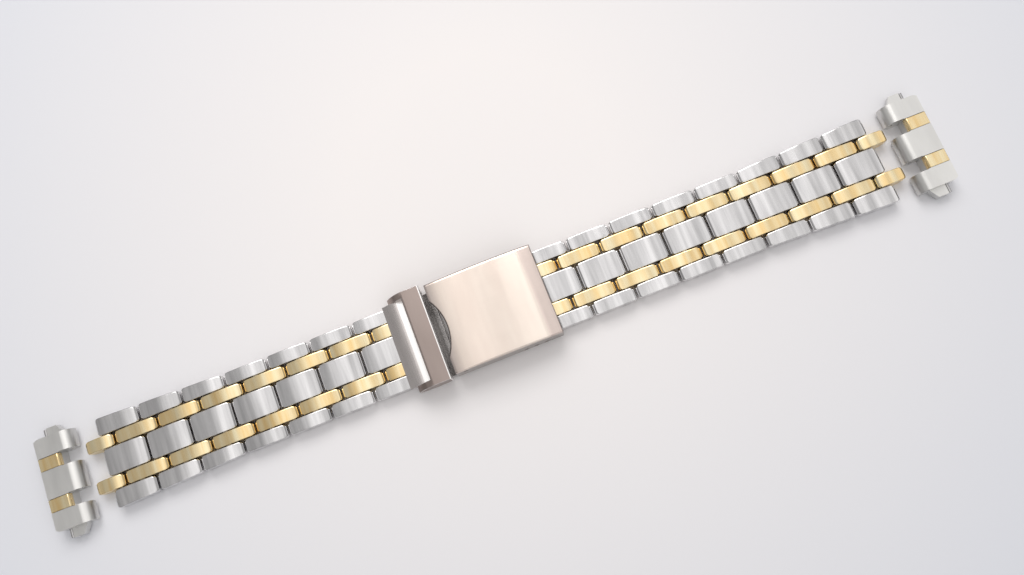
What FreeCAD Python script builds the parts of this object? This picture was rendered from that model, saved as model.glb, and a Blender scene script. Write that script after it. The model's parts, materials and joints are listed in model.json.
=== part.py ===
import FreeCAD, Part
import os
import re
import Sketcher
from FreeCAD import Placement, Rotation, Vector

# Link watch bracelet with a fold-over clasp, lying flat and closed.
# X runs along the strip, Y across it, Z up from the table. The origin is at the
# middle of the whole piece on the table. Lengths are in millimetres.

doc = FreeCAD.newDocument("LinkBracelet")

# Driving dimensions
sizes = {
    # Strip
    "link_pitch": 9.9,            # from one hinge to the next
    "link_gap": 0.35,             # between neighbours in one column
    "link_height": 3.2,
    "brick_offset": 3.4,          # how far a steel piece lags the plated piece beside it
    "nose_length": 1.65,          # from a hinge to the end of the plated nose
    "link_crown": 0.25,           # rise of the top face along the link
    "link_end_bevel": 0.45,
    "underside_bevel": 1.0,
    "centre_width": 5.9,
    "plated_width": 2.8,
    "column_gap": 0.17,
    "strap_width": 18.0,
    "strap_end_width": 20.0,
    "tongue_reach": 4.7,          # from its hinge to the free end of a tongue
    "pin_diameter": 1.0,
    "running_clearance": 0.05,
    "pin_wall": 1.4,              # steel left outside the blind pin holes
    "key_flats": 1.0,
    "cut_margin": 1.0,            # how far a cutting shape runs past the piece
    # Clasp
    "catch_gap": 1.1,             # between the closed catch and the cover
    "cover_length": 24.0,
    "cover_width": 19.2,
    "cover_top": 7.2,
    "cover_radius": 88.0,
    "cover_foot": 0.9,
    "cover_sheet": 0.5,
    "cover_roof_sheet": 0.65,
    "cover_edge_bevel": 0.4,
    "cover_margin": 3.85,         # from the strap bar to the end of the cover
    "adjust_step": 2.3,
    "notch_depth": 1.8,
    "notch_chord": 12.2,
    "cover_hinge_inset": 2.0,
    "cover_hinge_height": 4.7,
    "fold_hinge_setback": 3.7,
    "fold_hinge_height": 1.5,
    "knuckle_radius": 1.1,
    "blade_sheet": 0.8,
    "blade_lift": 0.05,
    "lower_blade_arch": 60.0,
    "lower_blade_width": 15.0,
    "middle_blade_width": 13.0,
    "blade_arch": 30.0,
    "cover_knuckle_width": 16.0,
    "blade_hinge_width": 6.0,
    "knuckle_gap": 0.15,
    "knuckle_relief": 0.25,
    "hood_reach": 3.64,
    "hood_top": 4.7,
    "hood_width": 18.3,
    "hood_underside": 3.45,
    "hood_edge": 0.45,
    "hood_crown_radius": 9.0,
    "hood_step": 1.0,
    "band_length": 4.45,
    "deck_height": 4.3,
    "deck_end": 5.3,
    "deck_bevel": 0.4,
    "nose_swing_clearance": 0.1,
    "blade_seat_start": 2.6,
    "lock_pivot_back": 1.0,
    "lock_pivot_height": 3.0,
    "lock_plate_start": 1.16,
    "lock_plate_length": 4.35,
    "lock_plate_top": 6.2,
    "lock_plate_sheet": 0.9,
    "lock_cheek_sheet": 0.85,
    "lock_side_clearance": 0.1,
    "lock_pin_depth": 1.8,
    "lock_foot": 1.25,            # from the pivot to the lower edge of a cheek
    "lock_foot_lead": 0.2,
    "lock_foot_slant": 1.2,
    "lock_edge_bevel": 0.15,
    "lock_lip": 0.5,
    "lock_brow_reach": 1.0,
    "lock_brow_drop": 0.55,
    "lock_brow_radius": 6.0,
    # End links
    "left_end_part": 4.75,        # how far the loose end link lies from its seat
    "right_end_part": 4.0,
    "end_link_width": 20.4,
    "end_link_length": 8.2,
    "end_link_height": 4.0,
    "end_link_flare": 0.7,
    "end_link_shoulder": 2.4,
    "end_link_toe": 0.5,
    "finger_length": 3.5,
    "case_curve_radius": 100.0,
    "insert_floor": 2.7,
    "insert_clearance": 0.05,
    "insert_bevel": 0.4,
    "insert_seat_lead": 0.1,
    "case_corner_round": 2.0,
    "ear_start": 2.2,
    "ear_slant": 1.2,
    "ear_end": 5.7,
    "ear_reach": 2.0,
    "ear_root": 0.5,
    "ear_bar_gap": 0.05,
    "ear_floor": 0.5,
    "ear_height": 1.8,
    "bar_height": 1.6,
    "bar_tube_diameter": 1.6,
    "bar_tip_diameter": 0.9,
    "bar_tip_reach": 1.9,
    "bar_tip_seat": 2.5,
    "bar_seat_clearance": 0.05,
}

sheet = doc.addObject("Spreadsheet::Sheet", "Sizes")
for row, (name, value) in enumerate(sizes.items(), start=1):
    sheet.set("A%d" % row, name)
    sheet.set("B%d" % row, str(value))
    sheet.setAlias("B%d" % row, name)
doc.recompute()


def size(text):
    """The same formula, with the names of cells pointing at the sheet."""
    return re.sub(r"[a-z_]+", lambda word: "Sizes." + word[0] if word[0] in sizes else word[0], text)


def measure(text):
    value = sheet.evalExpression(re.sub(r"Sizes\.", "", size(text)))
    return float(getattr(value, "Value", value))


def new_body(name):
    body = doc.addObject("PartDesign::Body", name)
    body.Label = name
    return body


def arc_between(start, end, radius, side):
    """The short arc that bulges to the left or right of the way from start to end."""
    chord = end - start
    across = Vector(-chord.y, chord.x, 0).normalize()
    depth = (radius ** 2 - (chord.Length / 2) ** 2) ** 0.5
    centre = (start + end) / 2 + across * (depth if side == "right" else -depth)
    circle = Part.Circle(centre, Vector(0, 0, 1), radius)
    first, last = (start, end) if side == "right" else (end, start)
    return Part.ArcOfCircle(circle, circle.parameter(first), circle.parameter(last))


def bind(sketch, kind, geometry, point, formula):
    """One coordinate or radius of a sketch, tied to a formula on the sheet."""
    value = measure(formula)
    if kind == "Radius":
        number = sketch.addConstraint(Sketcher.Constraint(kind, geometry, value))
    else:
        number = sketch.addConstraint(Sketcher.Constraint(kind, geometry, point, value))
    sketch.setExpression("Constraints[%d]" % number, size(formula))


def draw(body, name, plane, outlines=(), circles=(), lift=None):
    """A sketch of closed outlines. Each outline is a list of corners (across, up), and a
    corner may also hold the radius and side of the arc that leaves it."""
    sketch = body.newObject("Sketcher::SketchObject", name)
    origin_plane = next(item for item in body.Origin.OriginFeatures if item.Role == plane)
    sketch.AttachmentSupport = [(origin_plane, "")]
    sketch.MapMode = "FlatFace"
    if lift:
        sketch.setExpression("AttachmentOffset.Base.z", size(lift))
    for corners in outlines:
        points = [Vector(measure(corner[0]), measure(corner[1]), 0) for corner in corners]
        ends = []
        for index, corner in enumerate(corners):
            start, end = points[index], points[(index + 1) % len(points)]
            if len(corner) == 2:
                geometry = sketch.addGeometry(Part.LineSegment(start, end), False)
                ends.append((geometry, 1, 2))
                continue
            radius, side = corner[2:]
            geometry = sketch.addGeometry(arc_between(start, end, measure(radius), side), False)
            ends.append((geometry, 1, 2) if side == "right" else (geometry, 2, 1))
        for index, (geometry, first, last) in enumerate(ends):
            following, follow_first, follow_last = ends[(index + 1) % len(ends)]
            sketch.addConstraint(
                Sketcher.Constraint("Coincident", geometry, last, following, follow_first))
        for index, (geometry, first, last) in enumerate(ends):
            bind(sketch, "DistanceX", geometry, first, corners[index][0])
            bind(sketch, "DistanceY", geometry, first, corners[index][1])
            if len(corners[index]) > 2:
                bind(sketch, "Radius", geometry, None, corners[index][2])
    for across, up, radius in circles:
        centre = Vector(measure(across), measure(up), 0)
        circle = Part.Circle(centre, Vector(0, 0, 1), measure(radius))
        geometry = sketch.addGeometry(circle, False)
        bind(sketch, "DistanceX", geometry, 3, across)
        bind(sketch, "DistanceY", geometry, 3, up)
        bind(sketch, "Radius", geometry, None, radius)
    return sketch


def pad(body, sketch, length, side="Symmetric", flip=False):
    feature = body.newObject("PartDesign::Pad", sketch.Name + "Pad")
    feature.Profile = sketch
    feature.SideType = side
    feature.Reversed = flip
    feature.setExpression("Length", size(length))
    doc.recompute()
    return feature


def cut(body, sketch, length=None, side="Symmetric", flip=False):
    """A pocket through everything, or as deep as the length says."""
    before = body.Shape.Volume
    feature = body.newObject("PartDesign::Pocket", sketch.Name + "Cut")
    feature.Profile = sketch
    feature.SideType = side
    feature.Reversed = flip
    if length:
        feature.setExpression("Length", size(length))
    else:
        feature.Type = "ThroughAll"
    doc.recompute()
    if not body.Shape.Volume < before:
        raise RuntimeError("%s cuts nothing" % feature.Name)
    return feature


def bevel_edges(body, width, chosen):
    """A chamfer on the edges of the body that the test picks."""
    base = body.Tip
    names = ["Edge%d" % number for number, edge in enumerate(base.Shape.Edges, start=1)
             if chosen(edge)]
    if not names:
        raise RuntimeError("no edge to bevel on " + body.Label)
    feature = body.newObject("PartDesign::Chamfer", body.Name + "Bevel")
    feature.Base = (base, names)
    feature.setExpression("Size", size(width))
    doc.recompute()
    return feature


def place(thing, formulas, turn=0):
    """A placement tied to the sheet, turned about Z by a fixed number of degrees."""
    thing.Placement = Placement(Vector(), Rotation(Vector(0, 0, 1), turn))
    for axis, formula in zip("xyz", formulas):
        thing.setExpression("Placement.Base." + axis, size(formula))


def copy_of(master, across, name, mirrored=False):
    """A further piece like the master, moved across the strip."""
    source = master
    if mirrored:
        source = doc.addObject("Part::Mirroring", name + "Mirror")
        source.Source = master
        source.Normal = Vector(0, 1, 0)
    link = doc.addObject("App::Link", name)
    link.LinkedObject = source
    link.LinkTransform = True
    link.setExpression("LinkPlacement.Base.y", size(across))
    return link


nodes = []


def node(name, pieces, formulas, turn=0):
    """A sub-part of one or several solids, written out under its own name."""
    group = doc.addObject("Part::Compound", name)
    group.Label = name
    group.Links = pieces
    place(group, formulas, turn)
    nodes.append(group)
    return group


def single(body, formulas, turn=0):
    place(body, formulas, turn)
    nodes.append(body)
    return body


# Where things lie along the strip. The clasp's two strap hinges are a clasp span apart.
cover_start = "(lock_plate_start + lock_plate_length + catch_gap)"
cover_end = "(lock_plate_start + lock_plate_length + catch_gap + cover_length)"
clasp_span = "(lock_plate_start + lock_plate_length + catch_gap + cover_length - cover_margin)"
strip_centre = "((left_end_part - right_end_part) / 2 - link_pitch / 2)"
left_anchor = "({1} - {0} / 2)".format(clasp_span, strip_centre)
right_anchor = "({1} + {0} / 2)".format(clasp_span, strip_centre)
hinge_height = "(link_height / 2)"
steel_start = "(brick_offset - nose_length)"
steel_end = "(brick_offset - nose_length + link_pitch - link_gap)"
plated_end = "(link_pitch - link_gap - nose_length)"
key_place = "((brick_offset + link_pitch - link_gap) / 2 - nose_length)"
outer_width = "((strap_width - centre_width) / 2 - plated_width - 2 * column_gap)"
plated_centre = "((centre_width + plated_width) / 2 + column_gap)"
outer_face = "(centre_width / 2 + plated_width + 2 * column_gap)"
taper_step = "((strap_end_width - strap_width) / 6)"
pin_length = "(strap_width - 2 * pin_wall)"
pin_radius = "(pin_diameter / 2)"
bore_radius = "(pin_diameter / 2 + running_clearance)"
bore_corner = "((pin_diameter / 2 + running_clearance) / cos(22.5))"


def link_outline(start, end):
    """The side view of a link piece: bevelled at its ends, crowned along the top."""
    shoulder = "(link_height - link_crown)"
    crown = "(({1} - {0} - 2 * link_end_bevel) ^ 2 / 8 / link_crown + link_crown / 2)"
    return [
        (start + " + underside_bevel", "0"),
        (end + " - underside_bevel", "0"),
        (end, "underside_bevel"),
        (end, shoulder + " - link_end_bevel"),
        (end + " - link_end_bevel", shoulder, crown.format(start, end), "right"),
        (start + " + link_end_bevel", shoulder),
        (start, shoulder + " - link_end_bevel"),
        (start, "underside_bevel"),
    ]


def pin_outline(centre, radius, running=False):
    """An eight-sided pin or pin hole of the rows, by its corner radius. A hole that turns
    on its pin is round at the top."""
    angles = [22.5 + 45 * step for step in range(8)]
    corners = [("{0} + {1} * cos({2})".format(centre, radius, angle),
                "{0} + {1} * sin({2})".format(hinge_height, radius, angle)) for angle in angles]
    if running:
        corners[1] += (radius, "right")
    return corners


def key_outline(centre):
    half = "key_flats / 2"
    return [
        (centre + " - " + half, hinge_height + " - " + half),
        (centre + " + " + half, hinge_height + " - " + half),
        (centre + " + " + half, hinge_height + " + " + half),
        (centre + " - " + half, hinge_height + " + " + half),
    ]


def link_piece(name, start, end, width, bores, keys=()):
    """A link piece on the middle of the strip, with its holes right through."""
    body = new_body(name)
    pad(body, draw(body, name + "Side", "XZ_Plane", [link_outline(start, end)]), width)
    outlines = [pin_outline(bore, radius, radius == bore_corner) for bore, radius in bores]
    outlines += [key_outline(key) for key in keys]
    cut(body, draw(body, name + "Holes", "XZ_Plane", outlines))
    return body


def outer_piece(name, clasp_side_width, watch_side_width):
    """An outer link piece on the +Y side, its inner face on the XZ plane. Its pin holes
    are blind, and its outer face leans out where the strap widens."""
    body = new_body(name)
    side = draw(body, name + "Side", "XZ_Plane", [link_outline(steel_start, steel_end)])
    pad(body, side, watch_side_width, "One side", flip=True)
    if clasp_side_width != watch_side_width:
        wedge = draw(body, name + "Wedge", "XY_Plane", [[
            (steel_start, clasp_side_width),
            (steel_end, watch_side_width),
            (steel_end, watch_side_width + " + cut_margin"),
            (steel_start + " - cut_margin", watch_side_width + " + cut_margin"),
            (steel_start + " - cut_margin", clasp_side_width),
        ]])
        cut(body, wedge)
    holes = draw(body, name + "Holes", "XZ_Plane",
                 [pin_outline("link_pitch", pin_radius), key_outline(key_place)])
    cut(body, holes, outer_width + " - pin_wall", "One side")
    return body


# Link pieces that the rows share, in the frame of the hinge on their clasp side

centre_piece = link_piece("centre_piece", steel_start, steel_end, "centre_width",
                          [("link_pitch", pin_radius)], [key_place])
plated_piece = link_piece("plated_piece", "-nose_length", plated_end, "plated_width",
                          [("0", bore_corner)], [key_place])
tongue_piece = link_piece("tongue_piece", "-nose_length", "tongue_reach", "plated_width",
                          [("0", bore_corner), ("(tongue_reach - nose_length)", pin_radius)])


def outer_width_at(step):
    return outer_width if step == 0 else "({0} + {1} * {2})".format(outer_width, step, taper_step)


outer_pieces = {0: outer_piece("outer_piece", outer_width, outer_width)}
for step in (1, 2, 3):
    outer_pieces[step] = outer_piece(
        "outer_piece_taper_%d" % step, outer_width_at(step - 1), outer_width_at(step))

hinge_pin = new_body("hinge_pin")
pad(hinge_pin, draw(hinge_pin, "HingePinSide", "XZ_Plane", [pin_outline("link_pitch", pin_radius)]),
    pin_length)
key_pin = new_body("key_pin")
pad(key_pin, draw(key_pin, "KeyPinSide", "XZ_Plane", [key_outline(key_place)]), pin_length)


def build_row(name, anchor, number, taper, turn):
    """One rigid row: three steel pieces, two plated pieces and the two pins in them.
    Number counts the rows between this one and the clasp."""
    where = ("{0} {1} {2} * link_pitch".format(anchor, "-" if turn else "+", number), "0", "0")
    outer = outer_pieces[taper]
    steel = [
        copy_of(centre_piece, "0", name + "_centre"),
        copy_of(outer, outer_face, name + "_outer_a"),
        copy_of(outer, "-" + outer_face, name + "_outer_b", mirrored=True),
    ]
    plated = [
        copy_of(plated_piece, plated_centre, name + "_plated_a"),
        copy_of(plated_piece, "-" + plated_centre, name + "_plated_b"),
    ]
    node(name + "_steel", steel, where, turn)
    node(name + "_gold", plated, where, turn)
    pins = [copy_of(hinge_pin, "0", name + "_hinge"), copy_of(key_pin, "0", name + "_key")]
    node(name + "_pins", pins, where, turn)


left_rows, right_rows = 7, 8
for side, rows, anchor, turn in (("L", left_rows, left_anchor, 180),
                                 ("R", right_rows, right_anchor, 0)):
    for number in range(rows):
        label = number + 1 if side == "R" else rows - number
        taper = max(0, number - rows + 4)
        build_row("row_%s%d" % (side, label), anchor, number, taper, turn)

end_hinges = {
    "left": ("{0} - {1} * link_pitch".format(left_anchor, left_rows), 180),
    "right": ("{0} + {1} * link_pitch".format(right_anchor, right_rows), 0),
}
for side, (hinge, turn) in end_hinges.items():
    pair = [copy_of(tongue_piece, plated_centre, "tongue_%s_a" % side),
            copy_of(tongue_piece, "-" + plated_centre, "tongue_%s_b" % side)]
    node("end_tongues_" + side, pair, (hinge, "0", "0"), turn)


# Clasp, in the frame of the hinge that joins it to the left strap end

cover_shoulder = "(cover_top - cover_radius + sqrt(cover_radius ^ 2 - (cover_length / 2) ^ 2))"
cover_hinge = "({0} + cover_hinge_inset)".format(cover_start)
fold_hinge = "({0} - fold_hinge_setback)".format(clasp_span)
knuckle_round = "(knuckle_radius + knuckle_relief)"
steel_nose_start = "(link_gap + nose_length - brick_offset)"
nose_reach = "(nose_length + link_gap)"
nose_ceiling = ("(link_height / 2 + sqrt(nose_length ^ 2 + (link_height / 2 - link_crown"
                " - link_end_bevel) ^ 2) + nose_swing_clearance)")
clasp_at = (left_anchor, "0", "0")


def is_long_edge(edge, level, half_width):
    """A long edge of a plate, above a level and at a distance from the middle plane."""
    box = edge.BoundBox
    at_side = abs(abs(box.YMin) - measure(half_width)) < 1e-6 and box.YMax - box.YMin < 1e-6
    return at_side and box.ZMin > measure(level) and box.XMax - box.XMin > 1


def mirrored_rectangles(near_x, far_x, near_y, far_y):
    """The same rectangle on both sides of the middle line, seen from above."""
    return [[(near_x, sign + near_y), (far_x, sign + near_y),
             (far_x, sign + far_y), (near_x, sign + far_y)] for sign in ("", "-")]


def build_end_piece():
    """The block that takes the left strap end: steel knuckles below, a sloping hood over
    the first row, and a deck that the safety catch closes over."""
    body = new_body("clasp_end_piece")
    pad(body, draw(body, "EndPieceSide", "XZ_Plane", [[
        (steel_nose_start, "hood_underside"),
        (steel_nose_start, "underside_bevel"),
        (steel_nose_start + " + underside_bevel", "0"),
        ("blade_seat_start", "0"),
        ("blade_seat_start", "blade_sheet"),
        ("deck_end", "blade_sheet"),
        ("deck_end", "deck_height - deck_bevel"),
        ("deck_end - deck_bevel", "deck_height"),
        ("band_length - hood_reach", "deck_height"),
        ("band_length - hood_reach - hood_step", "hood_top", "hood_crown_radius", "right"),
        ("-hood_reach", "hood_underside + hood_edge"),
        ("-hood_reach", "hood_underside"),
    ]]), "hood_width")
    pockets = mirrored_rectangles(steel_nose_start + " - cut_margin", nose_reach,
                                  "(centre_width / 2)",
                                  "(centre_width / 2 + plated_width + 2 * column_gap)")
    cut(body, draw(body, "NosePockets", "XY_Plane", pockets), nose_ceiling, "One side", flip=True)
    cut(body, draw(body, "StrapPinHole", "XZ_Plane", [], [("0", hinge_height, pin_radius)]),
        pin_length)
    for name, sign, flip in (("Front", "", True), ("Back", "-", False)):
        hole = draw(body, name + "PivotHole", "XZ_Plane", [],
                    [("-lock_pivot_back", "lock_pivot_height", pin_radius)],
                    lift=sign + "(hood_width / 2 - lock_pin_depth)")
        cut(body, hole, "lock_pin_depth + cut_margin", "One side", flip)
    return single(body, clasp_at)


def build_lower_blade():
    """The blade that stays with the left strap end, with the outer knuckles of the fold."""
    body = new_body("clasp_lower_blade")
    pad(body, draw(body, "LowerBladeSide", "XZ_Plane", [[
        ("blade_seat_start", "blade_lift"),
        ("deck_end", "blade_lift", "lower_blade_arch", "left"),
        (fold_hinge, "fold_hinge_height - knuckle_radius"),
        (fold_hinge, "fold_hinge_height - knuckle_radius + blade_sheet",
         "lower_blade_arch - blade_sheet", "right"),
        ("deck_end", "blade_sheet"),
        ("blade_seat_start", "blade_sheet"),
    ]]), "lower_blade_width")
    knuckle = draw(body, "LowerKnuckle", "XZ_Plane", [],
                   [(fold_hinge, "fold_hinge_height", "knuckle_radius")])
    pad(body, knuckle, "lower_blade_width")
    cut(body, draw(body, "LowerKnuckleGap", "XY_Plane", [[
        (fold_hinge + " - " + knuckle_round, "-blade_hinge_width / 2 - knuckle_gap"),
        (fold_hinge + " + " + knuckle_round, "-blade_hinge_width / 2 - knuckle_gap"),
        (fold_hinge + " + " + knuckle_round, "blade_hinge_width / 2 + knuckle_gap"),
        (fold_hinge + " - " + knuckle_round, "blade_hinge_width / 2 + knuckle_gap"),
    ]]))
    cut(body, draw(body, "LowerKnuckleHole", "XZ_Plane", [],
                   [(fold_hinge, "fold_hinge_height", pin_radius)]))
    return single(body, clasp_at)


def build_middle_blade():
    """The blade that folds over the lower one and carries the cover."""
    body = new_body("clasp_middle_blade")
    pad(body, draw(body, "MiddleBladeSide", "XZ_Plane", [[
        (cover_hinge, "cover_hinge_height", "blade_arch - blade_sheet", "left"),
        (fold_hinge, "fold_hinge_height"),
        (fold_hinge, "fold_hinge_height + blade_sheet", "blade_arch", "right"),
        (cover_hinge, "cover_hinge_height + blade_sheet"),
    ]]), "middle_blade_width")
    clear_x = fold_hinge + " - " + knuckle_round
    cut(body, draw(body, "FoldShoulders", "XY_Plane", mirrored_rectangles(
        clear_x, fold_hinge + " + " + knuckle_round, "(blade_hinge_width / 2)",
        "(middle_blade_width / 2 + cut_margin)")))
    pad(body, draw(body, "FoldKnuckle", "XZ_Plane", [],
                   [(fold_hinge, "fold_hinge_height", "knuckle_radius")]), "blade_hinge_width")
    pad(body, draw(body, "CoverKnuckle", "XZ_Plane", [],
                   [(cover_hinge, "cover_hinge_height", "knuckle_radius")]), "cover_knuckle_width")
    cut(body, draw(body, "MiddleBladeBores", "XZ_Plane", [],
                   [(fold_hinge, "fold_hinge_height", bore_radius),
                    (cover_hinge, "cover_hinge_height", bore_radius)]))
    return single(body, clasp_at)


def build_cover():
    """The stamped cover: an arched sheet with side walls, a nail notch in its free edge
    and the row of holes for the strap bar."""
    body = new_body("clasp_cover")
    pad(body, draw(body, "CoverSide", "XZ_Plane", [[
        (cover_start, "cover_foot"),
        (cover_end, "cover_foot"),
        (cover_end, cover_shoulder, "cover_radius", "right"),
        (cover_start, cover_shoulder),
    ]]), "cover_width")
    bevel_edges(body, "cover_edge_bevel",
                lambda edge: is_long_edge(edge, "cover_foot + cut_margin", "cover_width / 2"))
    cut(body, draw(body, "CoverHollow", "XZ_Plane", [[
        (cover_start + " - cut_margin", "cover_foot - cut_margin"),
        (cover_end + " + cut_margin", "cover_foot - cut_margin"),
        (cover_end + " + cut_margin", cover_shoulder + " - cover_roof_sheet", "cover_radius",
         "right"),
        (cover_start + " - cut_margin", cover_shoulder + " - cover_roof_sheet"),
    ]]), "cover_width - 2 * cover_sheet")
    notch_radius = "((notch_chord ^ 2 / 4 + notch_depth ^ 2) / 2 / notch_depth)"
    cut(body, draw(body, "NailNotch", "XY_Plane", [],
                   [(cover_start + " + notch_depth - " + notch_radius, "0", notch_radius)],
                   lift="cover_foot + 2 * cut_margin"), "cover_top", "One side", flip=True)
    adjust_holes = [("{0} - {1} * adjust_step".format(clasp_span, step), hinge_height, pin_radius)
                    for step in range(3)]
    cut(body, draw(body, "BarHoles", "XZ_Plane", [], adjust_holes))
    cut(body, draw(body, "CoverHingeHoles", "XZ_Plane", [],
                   [(cover_hinge, "cover_hinge_height", pin_radius)]))
    return single(body, clasp_at)


def build_flip_lock():
    """The safety catch: a plate across the deck and two cheeks down to its pivot."""
    body = new_body("flip_lock")
    lock_end = "(lock_plate_start + lock_plate_length)"
    inner = "(hood_width + 2 * lock_side_clearance)"
    outer = "(hood_width + 2 * lock_side_clearance + 2 * lock_cheek_sheet)"
    pad(body, draw(body, "CheekSide", "XZ_Plane", [[
        ("-lock_pivot_back - lock_foot", "lock_pivot_height"),
        ("-lock_pivot_back - lock_foot_lead", "lock_pivot_height - lock_foot"),
        (lock_end + " - lock_foot_slant", "lock_pivot_height - lock_foot"),
        (lock_end, "lock_pivot_height"),
        (lock_end, "lock_plate_top - lock_edge_bevel"),
        (lock_end + " - lock_edge_bevel", "lock_plate_top"),
        ("lock_plate_start + lock_lip", "lock_plate_top"),
        ("lock_plate_start - lock_brow_reach", "lock_plate_top - lock_brow_drop",
         "lock_brow_radius", "right"),
    ]]), outer)
    cut(body, draw(body, "CheekGap", "XZ_Plane", [[
        ("-lock_pivot_back - 3 * cut_margin", "lock_pivot_height - 2 * cut_margin"),
        (lock_end + " + cut_margin", "lock_pivot_height - 2 * cut_margin"),
        (lock_end + " + cut_margin", "lock_plate_top - lock_plate_sheet"),
        ("lock_plate_start", "lock_plate_top - lock_plate_sheet"),
        ("lock_plate_start", "lock_plate_top + cut_margin"),
        ("-lock_pivot_back - 3 * cut_margin", "lock_plate_top + cut_margin"),
    ]]), inner)
    cut(body, draw(body, "LockPivotHoles", "XZ_Plane", [],
                   [("-lock_pivot_back", "lock_pivot_height", bore_radius)]))
    return single(body, clasp_at)


def pin_at(name, across_strip, up, start, length):
    """A round pin along Y, from a start to a length."""
    pin = doc.addObject("Part::Cylinder", name)
    pin.Placement = Placement(Vector(), Rotation(Vector(1, 0, 0), -90))
    for target, formula in (("Radius", pin_radius), ("Height", length),
                            ("Placement.Base.x", across_strip), ("Placement.Base.z", up),
                            ("Placement.Base.y", start)):
        pin.setExpression(target, size(formula))
    return pin


def build_clasp_pins():
    """Pins fixed in the end piece and lower blade, and pins fixed in the cover."""
    lock_start = "(hood_width / 2 - lock_pin_depth)"
    lock_reach = "(lock_pin_depth + lock_side_clearance + lock_cheek_sheet)"
    lower = [
        pin_at("strap_hinge_pin", "0", hinge_height, "-" + pin_length + " / 2", pin_length),
        pin_at("fold_hinge_pin", fold_hinge, "fold_hinge_height", "-lower_blade_width / 2",
               "lower_blade_width"),
        pin_at("lock_pivot_a", "-lock_pivot_back", "lock_pivot_height", lock_start, lock_reach),
        pin_at("lock_pivot_b", "-lock_pivot_back", "lock_pivot_height",
               "-" + lock_start + " - " + lock_reach, lock_reach),
    ]
    node("clasp_lower_pins", lower, clasp_at)
    upper = [
        pin_at("cover_hinge_pin", cover_hinge, "cover_hinge_height", "-cover_width / 2", "cover_width"),
        pin_at("strap_bar", clasp_span, hinge_height, "-cover_width / 2", "cover_width"),
    ]
    node("clasp_cover_pins", upper, clasp_at)


build_end_piece()
build_lower_blade()
build_middle_blade()
build_cover()
build_flip_lock()
build_clasp_pins()


# End links, in the frame of their finger tips. The case side is at the +X end.

case_side = "(end_link_length + end_link_flare)"
case_slope = "(end_link_flare / (end_link_height - end_link_toe))"
bar_place = "(ear_end + ear_bar_gap + bar_tip_diameter / 2)"
join_place = "(tongue_reach - brick_offset)"


def case_corner(sign, side):
    """What a rounded corner of the case side leaves out, seen from above."""
    return [
        (case_side + " - case_corner_round", sign + "(end_link_width / 2)", "case_corner_round", side),
        (case_side, sign + "(end_link_width / 2 - case_corner_round)"),
        (case_side + " + cut_margin", sign + "(end_link_width / 2 - case_corner_round)"),
        (case_side + " + cut_margin", sign + "(end_link_width / 2 + cut_margin)"),
        (case_side + " - case_corner_round", sign + "(end_link_width / 2 + cut_margin)"),
    ]


def build_end_link_body():
    """The steel end link: three fingers for the tongues, ears at the sides and seats for the
    plated inserts."""
    body = new_body("end_link_body")
    pad(body, draw(body, "EndSide", "XZ_Plane", [[
        ("underside_bevel", "0"),
        (case_side + " - end_link_toe / 2", "0"),
        (case_side, "end_link_toe"),
        ("end_link_length", "end_link_height"),
        ("end_link_shoulder", "end_link_height", "end_link_shoulder", "right"),
        ("0", "end_link_height - end_link_shoulder"),
        ("0", "underside_bevel"),
    ]]), "end_link_width")
    curve_centre = case_side + " + sqrt(case_curve_radius ^ 2 - (end_link_width / 2) ^ 2)"
    cut(body, draw(body, "CaseCurve", "XY_Plane", [], [(curve_centre, "0", "case_curve_radius")]))
    cut(body, draw(body, "CaseCorners", "XY_Plane", [case_corner("", "left"), case_corner("-", "right")]))
    ears = [[("ear_start", sign + "(end_link_width / 2 - ear_root)"),
             ("ear_end", sign + "(end_link_width / 2 - ear_root)"),
             ("ear_end", sign + "(end_link_width / 2 + ear_reach)"),
             ("ear_start + ear_slant", sign + "(end_link_width / 2 + ear_reach)"),
             ("ear_start", sign + "(end_link_width / 2)")] for sign in ("", "-")]
    pad(body, draw(body, "Ears", "XY_Plane", ears, lift="ear_floor"), "ear_height", "One side")
    near = "({0} - plated_width / 2 - column_gap)".format(plated_centre)
    far = "({0} + plated_width / 2 + column_gap)".format(plated_centre)
    cut(body, draw(body, "TongueSlots", "XY_Plane",
                   mirrored_rectangles("-cut_margin", "finger_length", near, far)))
    near = "({0} - plated_width / 2 - insert_clearance)".format(plated_centre)
    far = "({0} + plated_width / 2 + insert_clearance)".format(plated_centre)
    seats = mirrored_rectangles("finger_length - insert_seat_lead", case_side + " + cut_margin",
                                near, far)
    cut(body, draw(body, "InsertSeats", "XY_Plane", seats, lift="insert_floor"),
        "end_link_height", "One side", flip=True)
    cut(body, draw(body, "BarBore", "XZ_Plane", [],
                   [(bar_place, "bar_height", "bar_tube_diameter / 2 + bar_seat_clearance")]))
    cut(body, draw(body, "JoinHole", "XZ_Plane", [pin_outline(join_place, pin_radius)]), pin_length)
    return body


def build_insert():
    """A plated insert, flush with the top and the case side of the end link."""
    body = new_body("end_link_insert")
    pad(body, draw(body, "InsertSide", "XZ_Plane", [[
        ("finger_length", "insert_floor"),
        ("end_link_length + {0} * (end_link_height - insert_floor)".format(case_slope), "insert_floor"),
        ("end_link_length", "end_link_height"),
        ("finger_length + insert_bevel", "end_link_height"),
        ("finger_length", "end_link_height - insert_bevel"),
    ]]), "plated_width")
    return body


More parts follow.
